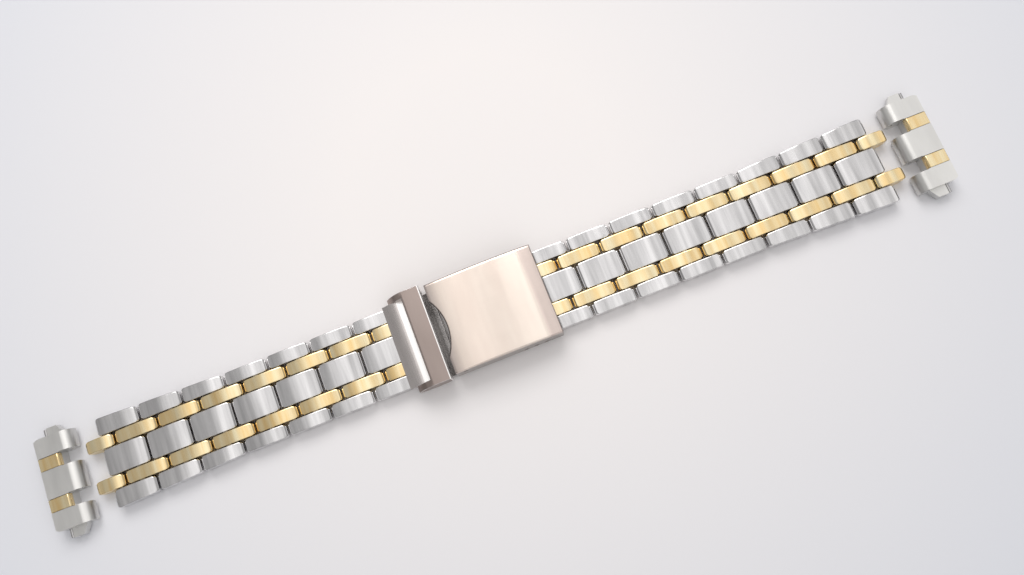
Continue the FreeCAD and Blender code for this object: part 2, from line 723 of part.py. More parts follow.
def build_spring_bar():
    """The spring bar: a tube with a shouldered tip in each end."""
    tube_half = "(end_link_width / 2)"
    bar = doc.addObject("Part::Cylinder", "bar_tube_outside")
    bore = doc.addObject("Part::Cylinder", "bar_tube_inside")
    tip = doc.addObject("Part::Cylinder", "bar_tip_shank")
    rows = (
        (bar, "bar_tube_diameter / 2", "-" + tube_half, "end_link_width"),
        (bore, "bar_tip_diameter / 2", "-" + tube_half + " - cut_margin",
         "end_link_width + 2 * cut_margin"),
        (tip, "bar_tip_diameter / 2", tube_half + " - bar_tip_seat",
         "bar_tip_seat + bar_tip_reach"),
    )
    for cylinder, radius, start, length in rows:
        cylinder.Placement = Placement(Vector(), Rotation(Vector(1, 0, 0), -90))
        cylinder.setExpression("Radius", size(radius))
        cylinder.setExpression("Height", size(length))
        cylinder.setExpression("Placement.Base.x", size(bar_place))
        cylinder.setExpression("Placement.Base.y", size(start))
        cylinder.setExpression("Placement.Base.z", size("bar_height"))
    tube = doc.addObject("Part::Cut", "bar_tube")
    tube.Base = bar
    tube.Tool = bore
    return tube, tip


end_body = build_end_link_body()
end_insert = build_insert()
bar_tube, bar_tip = build_spring_bar()
for side, (hinge, turn) in end_hinges.items():
    outward = "-" if turn else "+"
    where = ("{0} {1} ({2} + {3}_end_part)".format(hinge, outward, steel_start, side), "0", "0")
    node("end_link_" + side, [copy_of(end_body, "0", "end_body_" + side)], where, turn)
    inserts = [copy_of(end_insert, plated_centre, "insert_%s_a" % side),
               copy_of(end_insert, "-" + plated_centre, "insert_%s_b" % side)]
    node("end_link_inserts_" + side, inserts, where, turn)
    bar = [copy_of(bar_tube, "0", "tube_" + side), copy_of(bar_tip, "0", "tip_%s_a" % side),
           copy_of(bar_tip, "0", "tip_%s_b" % side, mirrored=True)]
    node("spring_bar_" + side, bar, where, turn)

doc.recompute()
for thing in doc.Objects:
    if "Invalid" in thing.State or "Error" in thing.State:
        raise RuntimeError("%s did not compute" % thing.Label)
for thing in nodes:
    if thing.Shape.isNull() or not thing.Shape.isValid():
        raise RuntimeError("%s has no sound shape" % thing.Label)

os.makedirs("parts", exist_ok=True)
for thing in nodes:
    thing.Shape.exportStep("parts/%s.step" % thing.Label)
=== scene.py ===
import json
import math

import bmesh
import bpy
from mathutils import Matrix, Quaternion, Vector

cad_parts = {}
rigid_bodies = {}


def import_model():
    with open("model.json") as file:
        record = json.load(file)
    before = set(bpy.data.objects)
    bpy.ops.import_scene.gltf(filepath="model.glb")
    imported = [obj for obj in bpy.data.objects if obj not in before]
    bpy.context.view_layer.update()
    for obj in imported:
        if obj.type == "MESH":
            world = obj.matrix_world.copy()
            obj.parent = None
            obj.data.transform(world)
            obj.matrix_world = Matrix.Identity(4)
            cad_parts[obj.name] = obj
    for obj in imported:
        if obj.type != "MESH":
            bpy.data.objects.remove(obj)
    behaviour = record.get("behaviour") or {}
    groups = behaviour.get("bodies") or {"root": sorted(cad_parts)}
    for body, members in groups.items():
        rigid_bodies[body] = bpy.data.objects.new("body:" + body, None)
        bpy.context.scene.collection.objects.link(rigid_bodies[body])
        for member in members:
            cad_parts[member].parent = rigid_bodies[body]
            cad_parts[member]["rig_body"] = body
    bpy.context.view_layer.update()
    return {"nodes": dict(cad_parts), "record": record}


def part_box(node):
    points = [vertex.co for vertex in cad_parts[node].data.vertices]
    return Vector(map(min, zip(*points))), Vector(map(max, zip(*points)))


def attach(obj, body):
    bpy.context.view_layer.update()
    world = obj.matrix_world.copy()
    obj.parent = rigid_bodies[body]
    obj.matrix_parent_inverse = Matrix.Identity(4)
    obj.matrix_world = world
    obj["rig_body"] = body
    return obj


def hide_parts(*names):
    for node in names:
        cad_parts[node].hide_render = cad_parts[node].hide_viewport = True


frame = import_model()
mm = 0.001
print("frame loaded:", len(frame["nodes"]), "nodes")


# Shader maths: an expression on wires adds its own Math nodes

class Wire:
    def __init__(self, paint, socket):
        self.paint = paint
        self.socket = socket

    def sum(self, operation, first, second):
        return self.paint.add("ShaderNodeMath", {"operation": operation}, {0: first, 1: second})

    def __add__(self, other):
        return self.sum("ADD", self, other)

    def __sub__(self, other):
        return self.sum("SUBTRACT", self, other)

    def __mul__(self, other):
        return self.sum("MULTIPLY", self, other)

    def __rsub__(self, other):
        return self.sum("SUBTRACT", other, self)

    __radd__ = __add__
    __rmul__ = __mul__


class Paint:
    # The nodes of one material or of the sky

    def __init__(self, tree, owner="Material"):
        self.tree = tree
        self.owner = owner
        self.tree.nodes.clear()

    def put(self, target, value):
        if isinstance(value, Wire):
            self.tree.links.new(value.socket, target)
        elif isinstance(value, tuple) and len(value) == 3 and target.type == "RGBA":
            target.default_value = value + (1,)
        else:
            target.default_value = value

    def add(self, kind, settings=None, inputs=None, output=0):
        made = self.tree.nodes.new(kind)
        for name, value in (settings or {}).items():
            if name == "stops":   # a ramp's places and their light
                ramp = made.color_ramp
                ramp.interpolation = "EASE"
                while len(ramp.elements) > 1:
                    ramp.elements.remove(ramp.elements[-1])
                for place, light in value:
                    element = ramp.elements.new(place)
                    element.color = (light, light, light, 1)
                ramp.elements.remove(ramp.elements[0])
            else:
                setattr(made, name, value)
        for name, value in (inputs or {}).items():
            self.put(made.inputs[name], value)
        return Wire(self, made.outputs[output]) if made.outputs else None

    def place(self, stretch=(1, 1, 1)):   # the piece's own coordinates, in metres
        spot = self.add("ShaderNodeTexCoord", output=3)
        return self.add("ShaderNodeVectorMath", {"operation": "MULTIPLY"}, {0: spot, 1: stretch})

    def noise(self, stretch, detail, roughness=0.5):
        return self.add("ShaderNodeTexNoise", None,
                        {"Vector": self.place(stretch), "Scale": 1.0, "Detail": detail,
                         "Roughness": roughness})

    def blend(self, factor, first, second):
        return self.add("ShaderNodeMix", {"data_type": "RGBA"},
                        {0: factor, 6: first, 7: second}, output=2)

    def spread(self, value, low, high):   # 0 at low, 1 at high
        return self.add("ShaderNodeMapRange", None, {0: value, 1: low, 2: high})

    def split(self, vector, output):
        return self.add("ShaderNodeSeparateXYZ", None, {0: vector}, output)

    def away(self, vector, point):
        return self.add("ShaderNodeVectorMath", {"operation": "DISTANCE"},
                        {0: vector, 1: point}, output=1)

    def shader(self, settings):
        self.finish(self.add("ShaderNodeBsdfPrincipled", None, settings))

    def finish(self, surface):
        self.add("ShaderNodeOutput" + self.owner, None, {"Surface": surface})


def newMaterial(name):
    material = bpy.data.materials.new(name)
    material.use_nodes = True
    return material, Paint(material.node_tree)


# Metals. Grain is the way in which the tool marks run, streak the broad bands across a link.
# A painted tone paints light or shade into the colour between two places along an axis of the
# piece, in mm.

metals = {
    "polishedSteel": {"colour": (0.88, 0.87, 0.875), "dim": (0.53, 0.525, 0.53),
                      "roughness": 0.15, "grain": (900, 90, 900), "grainRough": 0.10,
                      "streak": (620, 38, 40), "bump": 0.05},
    "polishedGold": {"colour": (1.0, 0.90, 0.62), "dim": (0.87, 0.61, 0.27),
                     "roughness": 0.15, "grain": (900, 90, 900), "grainRough": 0.08,
                     "streak": (640, 46, 40), "bump": 0.04},
    "brushedCover": {"colour": (0.95, 0.85, 0.76), "dim": (0.83, 0.71, 0.63),
                     # Painted shade: the cover's right end band and left end are darkened for the
                     # darker sky they face, the walls below the roof are darkened as shaded, and
                     # thin dark shadow lines are painted at the right end, along the +y long edge
                     # and round the rim of the nail notch
                     "tones": [("x", 9.5, 10.1, (0.74, 0.63, 0.58)),
                               ("x", -8.9, -11.4, (0.58, 0.50, 0.47)),
                               ("z", 6.1, 5.6, (0.42, 0.38, 0.36)),
                               ("x", 12.42, 12.58, (0.26, 0.22, 0.21)),
                               ("y", 9.86, 9.98, (0.30, 0.26, 0.25)),
                               ("notch", 11.52, 11.36, (0.10, 0.08, 0.075))],
                     "roughness": 0.21, "grain": (60, 4500, 4500), "grainRough": 0.08,
                     "streak": (170, 30, 60), "bump": 0.06},
    # Painted shade and highlight: the catch's colour is darkened for the darker surroundings it
    # reflects, and its tone paints a white highlight along its edge by the cover
    "satinCatch": {"colour": (0.38, 0.315, 0.29), "dim": (0.32, 0.262, 0.24),
                   "tones": [("x", -12.86, -12.74, (0.98, 0.96, 0.95))],
                   "roughness": 0.34, "grain": (4200, 70, 4200), "grainRough": 0.10,
                   "streak": (150, 60, 60), "bump": 0.08},
    "satinSteel": {"colour": (0.82, 0.815, 0.795), "dim": (0.68, 0.675, 0.66),
                   "roughness": 0.32, "grain": (3600, 120, 3600), "grainRough": 0.12,
                   "streak": (200, 60, 80), "bump": 0.10},
    # Painted shade and highlight: the hood's colour is darkened for the darker surroundings it
    # reflects, and its tone paints a bright highlight from its bevelled edge by the catch onwards
    "hoodSteel": {"colour": (0.62, 0.58, 0.565), "dim": (0.50, 0.465, 0.455),
                  "tones": [("x", -18.35, -18.15, (0.93, 0.915, 0.905))],
                  "roughness": 0.28, "grain": (3600, 120, 3600), "grainRough": 0.12,
                  "streak": (200, 60, 80), "bump": 0.10},
    # Painted shade: the blades are darkened towards the hood, where the slot between catch and
    # cover lies in deep shade
    "bladeSteel": {"colour": (0.68, 0.655, 0.645), "dim": (0.54, 0.52, 0.51),
                   "tones": [("x", -11.3, -11.8, (0.20, 0.19, 0.185))],
                   "roughness": 0.26, "grain": (70, 3800, 3800), "grainRough": 0.12,
                   "streak": (90, 300, 60), "bump": 0.08},
    # Painted shade: a dark finish for the cover's broken edges, standing for the shadow lines
    # round its edges
    "cutEdge": {"colour": (0.26, 0.235, 0.225), "dim": (0.19, 0.17, 0.165),
                "roughness": 0.36, "grain": (900, 900, 900), "grainRough": 0.10,
                "streak": (300, 300, 300), "bump": 0.06},
    "pinSteel": {"colour": (0.60, 0.59, 0.59), "dim": (0.48, 0.475, 0.48),
                 "roughness": 0.22, "grain": (3000, 100, 3000), "grainRough": 0.10,
                 "streak": (300, 60, 300), "bump": 0.04},
}

# What all metals share: how the marks mix, what they do to the gloss, their depth in mm, and where
# the painted shadow line round the nail notch is centred
marksAndShade = {
    "detail": 3.0,
    "grainRoughness": 0.6,
    "streakLow": 0.34,
    "streakHigh": 0.66,
    "streakShare": 0.75,
    "grainShare": 0.25,
    "smear": (420, 260, 420),
    "smearDetail": 4.0,
    "smearRoughness": 0.65,
    "smearGloss": 0.08,
    "smearHeight": 0.5,
    "depth": 0.06,
    "notchCentre": (-20.781, 0.0, 0.0),   # where the arc of the nail notch is struck from
}


def makeMetal(name, look):
    material, paint = newMaterial(name)
    grain = paint.noise(look["grain"], marksAndShade["detail"], marksAndShade["grainRoughness"])
    streak = paint.spread(paint.noise(look["streak"], marksAndShade["detail"]),
                          marksAndShade["streakLow"], marksAndShade["streakHigh"])
    smear = paint.noise(marksAndShade["smear"], marksAndShade["smearDetail"], marksAndShade["smearRoughness"])
    mixed = streak * marksAndShade["streakShare"] + grain * marksAndShade["grainShare"]
    colour = paint.blend(mixed, look["dim"], look["colour"])
    # Painted light and shade: each painted tone lays a shade or a highlight over the colour
    for axis, start, end, paintedTone in look.get("tones", []):
        # The painted shadow line round the nail notch is measured from the notch's centre
        if axis == "notch":
            struckFrom = tuple(part * mm for part in marksAndShade["notchCentre"])
            spot = paint.away(paint.place((1, 1, 0)), struckFrom)
        else:
            spot = paint.split(paint.place(), "xyz".index(axis))
        colour = paint.blend(paint.spread(spot, start * mm, end * mm), colour, paintedTone)
    gloss = (grain - 0.5) * look["grainRough"] + (smear - 0.5) * marksAndShade["smearGloss"]
    bump = paint.add("ShaderNodeBump", None,
                     {"Strength": look["bump"], "Distance": marksAndShade["depth"] * mm,
                      "Height": grain + smear * marksAndShade["smearHeight"]})
    paint.shader({"Base Color": colour, "Metallic": 1.0,
                  "Roughness": look["roughness"] + gloss, "Normal": bump})
    return material


# Painted shade: the fingers of an end link are darkened towards their tips
fingerTips = {"Left": (-94.6, -92.4), "Right": (94.6, 92.4)}
fingerShade = (0.40, 0.395, 0.385)
for side, (start, end) in fingerTips.items():
    metals["endSteel" + side] = dict(metals["satinSteel"], tones=[("x", start, end, fingerShade)])
finishes = {name: makeMetal(name, look) for name, look in metals.items()}
nodeFinish = {"end_link_left": "endSteelLeft", "end_link_right": "endSteelRight",
              "clasp_end_piece": "hoodSteel"}
slotFinish = {
    "polished_steel": "polishedSteel",
    "polished_gold": "polishedGold",
    "brushed_cover": "brushedCover",
    "satin_catch": "satinCatch",
    "satin_steel": "satinSteel",
    "blade_steel": "bladeSteel",
    "pin_steel": "pinSteel",
}
nodeSlot = {part["node"]: part["material_slot"] for part in frame["record"]["subparts"]}
print("metals made:", len(finishes))


# Making pieces

edgeWork = {
    "angle": 32,          # edges sharper than this are broken, in degrees
    "steps": 3,
    "normalWeight": 70,
    "weld": 0.002,        # points nearer than this are one point, in mm
    "flatAngle": 1,       # faces nearer to flat than this become one face, in degrees
}


def standFor(nodeName, name, mesh):
    # The piece rides where its node rides and is shown in its place
    piece = bpy.data.objects.new(name, mesh)
    bpy.context.scene.collection.objects.link(piece)
    finish = nodeFinish.get(nodeName, slotFinish[nodeSlot[nodeName]])
    mesh.materials.append(finishes[finish])
    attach(piece, frame["nodes"][nodeName]["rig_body"])
    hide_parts(nodeName)
    return piece


def evenNormals(piece):
    for face in piece.data.polygons:
        face.use_smooth = True
    normals = piece.modifiers.new("evenNormals", "WEIGHTED_NORMAL")
    normals.weight = edgeWork["normalWeight"]


def rounded(corners, steps=4):
    # A closed outline from corners given as x, z and radius
    points = []
    count = len(corners)
    for index, (x, z, radius) in enumerate(corners):
        here = Vector((x, z))
        if radius == 0:
            points.append(here)
            continue
        before = (Vector(corners[index - 1][:2]) - here).normalized()
        after = (Vector(corners[(index + 1) % count][:2]) - here).normalized()
        half = before.angle(after) / 2
        reach = radius / math.tan(half)
        centre = here + (before + after).normalized() * (radius / math.sin(half))
        first = here + before * reach - centre
        last = here + after * reach - centre
        turn = first.angle_signed(last)
        for step in range(steps + 1):
            angle = -turn * step / steps
            cosine, sine = math.cos(angle), math.sin(angle)
            points.append(centre + Vector((first.x * cosine - first.y * sine,
                                           first.x * sine + first.y * cosine)))
    return points


def inset(points, depth, leastStretch=0.5):
    # The same outline, moved inwards all round
    moved = []
    count = len(points)
    for index, point in enumerate(points):
        back = (point - points[index - 1]).normalized()
        ahead = (points[(index + 1) % count] - point).normalized()
        normal = Vector((-(back + ahead).y, (back + ahead).x)).normalized()
        stretch = max(leastStretch, normal.dot(Vector((-ahead.y, ahead.x))))
        moved.append(point + normal * (depth / stretch))
    return moved


link = {
    "height": 3.2,
    "crown": 0.25,
    "endBevel": 0.45,
    "underBevel": 1.0,
    "endRound": 0.35,
    "lowRound": 0.6,
    "crownSteps": 14,
    "sideRound": 0.18,
    "sideSteps": 3,
    "planRound": 0.6,
    "planSteps": 3,
    "centreWidth": 5.9,
    "platedWidth": 2.8,
    "bore": 0.56,
    "boreBack": 1.65,     # from the end of a plated nose to its bore
    "pinBore": 0.5,
    "pinBack": 1.5,       # from the end of a steel piece to its pin
    "blindDepth": 1.5,
}


def linkOutline(start, end):
    # The side view of a link piece, anticlockwise from its lower corner, in mm
    shoulder = link["height"] - link["crown"]
    left, right = start + link["endBevel"], end - link["endBevel"]
    corners = [
        (start + link["underBevel"], 0, link["lowRound"]),
        (end - link["underBevel"], 0, link["lowRound"]),
        (end, link["underBevel"], link["lowRound"]),
        (end, shoulder - link["endBevel"], link["endRound"]),
        (right, shoulder, link["endRound"]),
    ]
    half = (right - left) / 2
    radius = (half ** 2 + link["crown"] ** 2) / 2 / link["crown"]
    for step in range(1, link["crownSteps"]):
        x = right - (right - left) * step / link["crownSteps"]
        rise = math.sqrt(radius ** 2 - (x - (left + right) / 2) ** 2) - radius + link["crown"]
        corners.append((x, shoulder + rise, 0))
    corners.append((left, shoulder, link["endRound"]))
    corners.append((start, shoulder - link["endBevel"], link["endRound"]))
    corners.append((start, link["underBevel"], link["lowRound"]))
    return rounded(corners)


def addLink(bm, outline, lowFace, highFace, bores):
    # A link piece between two faces, each a function of x. A bore is x, z, radius and blind,
    # where blind is 0 for a hole right through, or else the side that it is open to.
    steps = link["sideSteps"]
    rings = []
    for step in range(steps + 1):
        angle = math.pi / 2 * step / steps
        rings.append((-1, link["sideRound"] * (1 - math.cos(angle)),
                      link["sideRound"] * (1 - math.sin(angle))))
    for step in range(1, link["planSteps"] + 1):
        rest = link["planRound"] - link["sideRound"]
        rings.append((-1, link["sideRound"] + rest * step / link["planSteps"], 0))
    rings += [(1, along, depth) for _, along, depth in reversed(rings)]
    middle = (min(point.x for point in outline) + max(point.x for point in outline)) / 2
    half = max(point.x for point in outline) - middle
    loops = []
    for side, along, depth in rings:
        left = link["planRound"] - along
        narrow = 1 - (link["planRound"] - math.sqrt(link["planRound"] ** 2 - left ** 2)) / half
        loop = []
        for point in inset(outline, depth):
            x = middle + (point.x - middle) * narrow
            face = lowFace(x) if side < 0 else highFace(x)
            loop.append(bm.verts.new((x * mm, (face - side * along) * mm, point.y * mm)))
        loops.append(loop)
    count = len(outline)
    for lower, upper in zip(loops, loops[1:]):
        for index in range(count):
            following = (index + 1) % count
            bm.faces.new((lower[index], lower[following], upper[following], upper[index]))
    x, z, radius, blind = bores
    centre = Vector((x, z))
    walls = []
    for side, loop in ((-1, loops[0]), (1, loops[-1])):
        if blind and side != blind:
            bm.faces.new(loop)
            continue
        mouth = []
        for vertex in loop:
            spot = Vector((vertex.co.x / mm, vertex.co.z / mm))
            rim = centre + (spot - centre).normalized() * radius
            face = lowFace(rim.x) if side < 0 else highFace(rim.x)
            mouth.append(bm.verts.new((rim.x * mm, face * mm, rim.y * mm)))
        for index in range(count):
            following = (index + 1) % count
            bm.faces.new((loop[index], loop[following], mouth[following], mouth[index]))
        walls.append(mouth)
    if blind:
        depth = -blind * link["blindDepth"] * mm
        end = [bm.verts.new(vertex.co + Vector((0, depth, 0))) for vertex in walls[0]]
        walls.append(end)
        bm.faces.new(end)
    for index in range(count):
        following = (index + 1) % count
        bm.faces.new((walls[0][index], walls[0][following], walls[1][following], walls[1][index]))


def meshOf(bm, name):
    bmesh.ops.recalc_face_normals(bm, faces=bm.faces)
    mesh = bpy.data.meshes.new(name)
    bm.to_mesh(mesh)
    bm.free()
    return mesh


def flatFace(y):
    return lambda x: y


def buildPlated(node, name, outward):
    # The front and back plated pieces of a row or a strap end, bored for the hinge pin
    low, high = (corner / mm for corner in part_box(node))
    bm = bmesh.new()
    outline = linkOutline(low.x, high.x)
    bore = (low.x + link["boreBack"]) if outward > 0 else (high.x - link["boreBack"])
    for side in (-1, 1):
        faces = sorted((side * (high.y - link["platedWidth"]), side * high.y))
        addLink(bm, outline, flatFace(faces[0]), flatFace(faces[1]),
                (bore, link["height"] / 2, link["bore"], 0))
    evenNormals(standFor(node, name, meshOf(bm, name)))


def buildRow(row, neighbour):
    # All pieces of a row. Neighbour is the row on its clasp side.
    low, high = (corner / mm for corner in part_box(row + "_steel"))
    outward = 1 if low.x > 0 else -1
    hinge = (high.x - link["pinBack"]) if outward > 0 else (low.x + link["pinBack"])
    outline = linkOutline(low.x, high.x)
    middle = link["height"] / 2
    bm = bmesh.new()
    halfCentre = link["centreWidth"] / 2
    addLink(bm, outline, flatFace(-halfCentre), flatFace(halfCentre),
            (hinge, middle, link["pinBore"], 0))
    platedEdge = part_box(row + "_gold")[1].y / mm
    columnGap = platedEdge - link["platedWidth"] - halfCentre
    inner = platedEdge + columnGap
    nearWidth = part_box(neighbour + "_steel")[1].y / mm if neighbour else high.y
    clasp, watch = (low.x, high.x) if outward > 0 else (high.x, low.x)

    def outerFace(x):
        share = min(1, max(0, (x - clasp) / (watch - clasp)))
        return nearWidth + (high.y - nearWidth) * share

    addLink(bm, outline, flatFace(inner), outerFace, (hinge, middle, link["pinBore"], -1))
    addLink(bm, outline, lambda x: -outerFace(x), flatFace(-inner),
            (hinge, middle, link["pinBore"], 1))
    evenNormals(standFor(row + "_steel", row + "_steel_links", meshOf(bm, row + "_steel_links")))
    buildPlated(row + "_gold", row + "_gold_links", outward)


leftRows = ["row_L%d" % number for number in range(7, 0, -1)]
rightRows = ["row_R%d" % number for number in range(1, 9)]
for rows in (leftRows, rightRows):
    for row, neighbour in zip(rows, [None] + rows[:-1]):
        buildRow(row, neighbour)
print("rows built:", len(leftRows) + len(rightRows))


for side, outward in (("left", -1), ("right", 1)):
    buildPlated("end_tongues_" + side, "tongues_" + side, outward)
print("tongues built: 2 pairs")


cover = {
    "halfWidth": 10.1,
    "foot": 0.9,
    "top": 7.19,
    "archRadius": 88.0,
    "wall": 0.5,
    "roofSheet": 0.65,
    "outerRound": 0.45,
    "innerRound": 0.3,
    "roundSteps": 5,
    "roofSteps": 72,
    "stationStep": 0.5,
    "fineStep": 0.125,    # for the end band, and from fineLead before it
    "fineLead": 1.0,
    "stationSlack": 0.01,
    "notchDepth": 1.8,
    "notchChord": 12.2,
    "notchFade": 7.0,     # over this length the faces behind the notch give way to it
    "bandLength": 2.9,
    "bandDrop": 0.16,
    "grooveWidth": 0.25,
    "grooveDepth": 0.035,
    "hinge": (-9.345, 4.7),
    "bar": (8.805, 1.6),
    "barStep": 2.3,
    "boreRadius": 0.52,
    "boreFaces": 32,
    "boreReach": 11.1,
    "holes": 3,
    "edge": 0.2,
}


def coverSection(half, top, corner):
    # From the foot of one wall over the roof to the foot of the other
    points = [(-half, cover["foot"]), (-half, (cover["foot"] + top) / 2)]
    for step in range(cover["roundSteps"] + 1):
        angle = math.pi / 2 * step / cover["roundSteps"]
        points.append((-half + corner * (1 - math.cos(angle)),
                       top - corner * (1 - math.sin(angle))))
    flat = half - corner
    for step in range(1, cover["roofSteps"]):
        points.append((-flat + 2 * flat * step / cover["roofSteps"], top))
    return points + [(-y, z) for y, z in reversed(points[:cover["roundSteps"] + 3])]


def roofDrop(x, middle, bandStart):
    # How far the roof has come down at x: its arch, the end band and the groove before it
    arch = cover["archRadius"] - math.sqrt(cover["archRadius"] ** 2 - (x - middle) ** 2)
    band = cover["bandDrop"] * max(0, (x - bandStart) / cover["bandLength"]) ** 2
    groove = cover["grooveDepth"] * math.exp(-((x - bandStart) / cover["grooveWidth"]) ** 2)
    return arch + band + groove


def notchShift(y):
    # How far the nail notch takes the free edge back at y
    depth, halfChord = cover["notchDepth"], cover["notchChord"] / 2
    if abs(y) >= halfChord:
        return 0
    radius = (halfChord ** 2 + depth ** 2) / 2 / depth
    return math.sqrt(radius ** 2 - y ** 2) - radius + depth


def coverShell(bm, stations, half, top, corner, middle, bandStart):
    # Rows of points for the outside or the inside of the cover, one row for each station
    rows = []
    section = coverSection(half, top, corner)
    for station in stations:
        fade = max(0, 1 - (station - stations[0]) / cover["notchFade"])
        row = []
        for index, (y, z) in enumerate(section):
            onRoof = 1 < index < len(section) - 2
            x = station + (notchShift(y) * fade if onRoof else 0)
            share = (z - cover["foot"]) / (top - cover["foot"])
            row.append(bm.verts.new((x * mm, y * mm,
                                     (z - roofDrop(x, middle, bandStart) * share) * mm)))
        rows.append(row)
    return rows


def buildCover():
    low, high = (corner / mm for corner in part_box("clasp_cover"))
    middle = (low.x + high.x) / 2
    bandStart = high.x - cover["bandLength"]
    stations = [low.x]
    while stations[-1] < high.x - cover["stationSlack"]:
        fine = stations[-1] >= bandStart - cover["fineLead"]
        step = cover["fineStep"] if fine else cover["stationStep"]
        stations.append(min(high.x, stations[-1] + step))
    bm = bmesh.new()
    outer = coverShell(bm, stations, cover["halfWidth"], cover["top"], cover["outerRound"],
                       middle, bandStart)
    inner = coverShell(bm, stations, cover["halfWidth"] - cover["wall"],
                       cover["top"] - cover["roofSheet"], cover["innerRound"],
                       middle, bandStart)
    last = len(outer[0]) - 1
    for rows in (outer, inner):
        for near, far in zip(rows, rows[1:]):
            for index in range(last):
                bm.faces.new((near[index], near[index + 1], far[index + 1], far[index]))
    for index in (0, last):
        for number in range(len(stations) - 1):
            bm.faces.new((outer[number][index], outer[number + 1][index],
                          inner[number + 1][index], inner[number][index]))
    for number in (0, len(stations) - 1):
        for index in range(last):
            bm.faces.new((outer[number][index], outer[number][index + 1],
                          inner[number][index + 1], inner[number][index]))
    piece = standFor("clasp_cover", "cover", meshOf(bm, "cover"))
    barX, barZ = cover["bar"]
    holes = [cover["hinge"]]
    holes += [(barX - cover["barStep"] * number, barZ) for number in range(cover["holes"])]
    boreThrough(piece, holes, cover["boreRadius"], cover["boreReach"])
    # Its broken edges take the dark finish as painted shadow lines
    breakEdges(piece, cover["edge"], "cutEdge")


def boreThrough(piece, holes, radius, reach):
    # Holes across the whole piece, each given as x and z
    bm = bmesh.new()
    for x, z in holes:
        made = bmesh.ops.create_cone(bm, cap_ends=True, segments=cover["boreFaces"],
                                     radius1=radius * mm, radius2=radius * mm,
                                     depth=2 * reach * mm)
        bmesh.ops.rotate(bm, verts=made["verts"], matrix=Matrix.Rotation(math.pi / 2, 3, "X"))
        bmesh.ops.translate(bm, verts=made["verts"], vec=(x * mm, 0, z * mm))
    cutter = bpy.data.objects.new("cutter", meshOf(bm, "cutter"))
    bpy.context.scene.collection.objects.link(cutter)
    bore = piece.modifiers.new("bore", "BOOLEAN")
    bore.operation = "DIFFERENCE"
    bore.solver = "EXACT"
    bore.object = cutter
    graph = bpy.context.evaluated_depsgraph_get()
    bored = bpy.data.meshes.new_from_object(piece.evaluated_get(graph))
    piece.modifiers.remove(bore)
    piece.data = bored
    bpy.data.objects.remove(cutter)


def breakEdges(piece, width, finish=None):
    # The broken edges take a finish of their own where one is named
    edges = piece.modifiers.new("brokenEdges", "BEVEL")
    edges.width = width * mm
    edges.segments = edgeWork["steps"]
    edges.limit_method = "ANGLE"
    edges.angle_limit = math.radians(edgeWork["angle"])
    edges.use_clamp_overlap = True
    if finish:
        piece.data.materials.append(finishes[finish])
        edges.material = 1
    evenNormals(piece)


caseCorner = {
    "radius": 2.0,
    "steps": 8,
    "within": 2.0,        # from the case side, where the upright edges of a corner are
    "beyond": 8.5,        # from the middle of the strap
    "lean": 0.02,         # an upright edge leans less than this
    "shortest": 0.5,      # and is longer than this
}


def roundCorners(bm):
    # The two corners on the case side of an end link, made square and then round in plan
    side = 1 if sum(vertex.co.x for vertex in bm.verts) > 0 else -1
    reach = max(side * vertex.co.x for vertex in bm.verts)

    def uprights(sign):
        found = []
        for edge in bm.edges:
            first, second = (vertex.co for vertex in edge.verts)
            lean = math.hypot(first.x - second.x, first.y - second.y)
            if (lean < caseCorner["lean"] * mm
                    and abs(first.z - second.z) > caseCorner["shortest"] * mm
                    and side * first.x > reach - caseCorner["within"] * mm
                    and sign * first.y > caseCorner["beyond"] * mm):
                found.append(edge)
        return found

    for sign in (-1, 1):
        ends = {vertex for edge in uprights(sign) for vertex in edge.verts}
        farX = max(side * vertex.co.x for vertex in ends)
        farY = max(sign * vertex.co.y for vertex in ends)
        for vertex in ends:
            vertex.co.x, vertex.co.y = side * farX, sign * farY
    bmesh.ops.remove_doubles(bm, verts=bm.verts, dist=edgeWork["weld"] * mm)
    bmesh.ops.bevel(bm, geom=uprights(-1) + uprights(1), offset=caseCorner["radius"] * mm,
                    offset_type="OFFSET", segments=caseCorner["steps"], profile=0.5,
                    affect="EDGES", clamp_overlap=True)


def soften(nodeName, name, width, widen, finish):
    # The node's own shape with its edges broken and, where it is widened, its sides moved out
    bm = bmesh.new()
    bm.from_mesh(frame["nodes"][nodeName].data)
    bmesh.ops.remove_doubles(bm, verts=bm.verts, dist=edgeWork["weld"] * mm)
    bmesh.ops.dissolve_limit(bm, angle_limit=math.radians(edgeWork["flatAngle"]),
                             verts=bm.verts, edges=bm.edges)
    if widen:
        beyond, shift = widen
        for vertex in bm.verts:
            if abs(vertex.co.y) > beyond * mm:
                vertex.co.y += math.copysign(shift * mm, vertex.co.y)
    if name.startswith("end_link_body"):
        roundCorners(bm)
    breakEdges(standFor(nodeName, name, meshOf(bm, name)), width, finish)


# Name, edge width, from where and by how much the sides move out, and the edges' own finish
softEdges = {
    "clasp_end_piece": ("clasp_hood", 0.14, (9.0, 0.2), None),
    "clasp_lower_blade": ("lower_blade", 0.1, (7.0, 2.0), None),
    "clasp_middle_blade": ("middle_blade", 0.1, None, None),
    "flip_lock": ("catch", 0.22, (9.7, 0.55), "polishedSteel"),
    "end_link_left": ("end_link_body_left", 0.22, None, None),
    "end_link_right": ("end_link_body_right", 0.22, None, None),
    "end_link_inserts_left": ("inserts_left", 0.14, None, None),
    "end_link_inserts_right": ("inserts_right", 0.14, None, None),
}
buildCover()
print("cover built")
for nodeName, (name, width, widen, finish) in softEdges.items():
    soften(nodeName, name, width, widen, finish)
for nodeName, slotName in nodeSlot.items():
    if slotName == "pin_steel":
        data = frame["nodes"][nodeName].data
        data.materials.clear()
        data.materials.append(finishes["pinSteel"])
print("clasp and end links dressed:", len(softEdges))


# Table, sky, lamp and camera

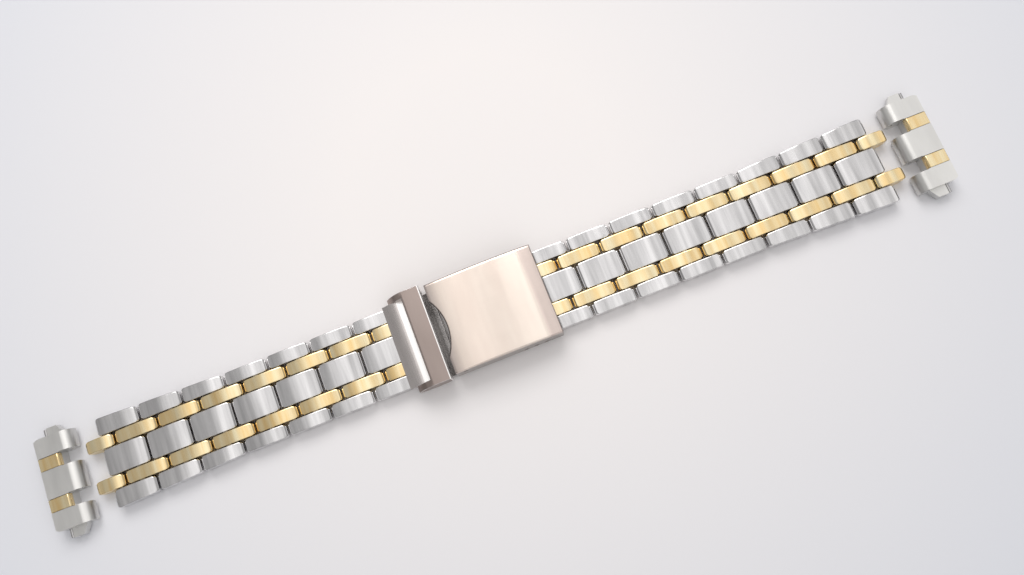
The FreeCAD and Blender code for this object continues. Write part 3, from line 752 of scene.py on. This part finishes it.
table = {
    "size": 3.0,
    "drop": 0.02,
    "centre": (0.008, 0.030, 0.0),
    # middle and rim: a painted pool of light, paler in the middle of the table and darker and
    # bluer towards the rim
    "middle": (0.93, 0.90, 0.895),
    "rim": (0.68, 0.715, 0.79),
    "near": 0.03,
    "reach": 0.17,
    "roughness": 0.7,
    "specular": 0.2,
}


def buildTable():
    half = table["size"] / 2
    mesh = bpy.data.meshes.new("table")
    level = -table["drop"] * mm
    mesh.from_pydata([(-half, -half, level), (half, -half, level), (half, half, level),
                      (-half, half, level)], [], [(0, 1, 2, 3)])
    floor = bpy.data.objects.new("table", mesh)
    bpy.context.scene.collection.objects.link(floor)
    material, paint = newMaterial("tableTop")
    # Painted light: the table top is paler round its middle and darker towards the rim
    shade = paint.spread(paint.away(paint.place(), table["centre"]), table["near"], table["reach"])
    colour = paint.blend(shade, table["middle"], table["rim"])
    paint.shader({"Base Color": colour, "Roughness": table["roughness"],
                  "Specular IOR Level": table["specular"]})
    mesh.materials.append(material)


# The sky is a soft wall of light, in bands from left to right, dimmer near the horizon.
sky = {
    "strength": 1.2,
    "colour": (1.0, 0.985, 0.975),
    "bands": [(-0.80, 0.50), (-0.62, 0.34), (-0.48, 0.40), (-0.38, 0.36), (-0.30, 0.62),
              (-0.22, 0.96), (-0.14, 0.94), (-0.05, 0.72), (0.04, 0.70), (0.12, 0.94),
              (0.22, 0.94), (0.30, 0.62), (0.40, 0.86), (0.50, 0.60), (0.64, 0.85),
              (0.85, 0.60)],
    "rise": [(0.0, 0.42), (0.25, 0.50), (0.60, 0.90), (0.75, 1.0)],
}


def buildSky():
    world = bpy.data.worlds.new("studio")
    bpy.context.scene.world = world
    world.use_nodes = True
    paint = Paint(world.node_tree, "World")
    way = paint.add("ShaderNodeTexCoord")
    across, height = paint.split(way, 0), paint.split(way, 2)
    stops = [((place + 1) / 2, light) for place, light in sky["bands"]]
    bands = paint.add("ShaderNodeValToRGB", {"stops": stops}, {0: paint.spread(across, -1, 1)})
    rise = paint.add("ShaderNodeValToRGB", {"stops": sky["rise"]}, {0: height})
    back = paint.add("ShaderNodeBackground", None,
                     {"Color": sky["colour"], "Strength": bands * rise * sky["strength"]})
    paint.finish(back)


window = {"at": (0.05, 0.38, 0.48), "size": (0.45, 0.35), "power": 1.4,
          "colour": (1.0, 0.975, 0.95)}


def buildWindow():
    data = bpy.data.lights.new("window", "AREA")
    data.shape = "RECTANGLE"
    data.size, data.size_y = window["size"]
    data.energy = window["power"]
    data.color = window["colour"]
    holder = bpy.data.objects.new("window", data)
    holder.location = window["at"]
    holder.rotation_mode = "QUATERNION"
    holder.rotation_quaternion = (-Vector(window["at"])).to_track_quat("-Z", "Y")
    bpy.context.scene.collection.objects.link(holder)


# Where the camera stands and aims in mm, its roll in degrees, its lens and nearest sight
camera = {"stand": (6.22, -36.0, 189.0), "aim": (6.06, 3.29, 3.0), "roll": -21.73, "lens": 31.18,
          "nearest": 0.01}


def buildCamera():
    data = bpy.data.cameras.new("camera")
    data.lens = camera["lens"]
    data.clip_start = camera["nearest"]
    holder = bpy.data.objects.new("camera", data)
    stand, aim = Vector(camera["stand"]) * mm, Vector(camera["aim"]) * mm
    turn = Quaternion((0, 0, 1), math.radians(camera["roll"]))
    holder.location = stand
    holder.rotation_mode = "QUATERNION"
    holder.rotation_quaternion = (aim - stand).to_track_quat("-Z", "Y") @ turn
    bpy.context.scene.collection.objects.link(holder)
    bpy.context.scene.camera = holder


buildTable()
buildSky()
buildWindow()
buildCamera()
bpy.context.scene.view_settings.view_transform = "Standard"
print("studio set up")
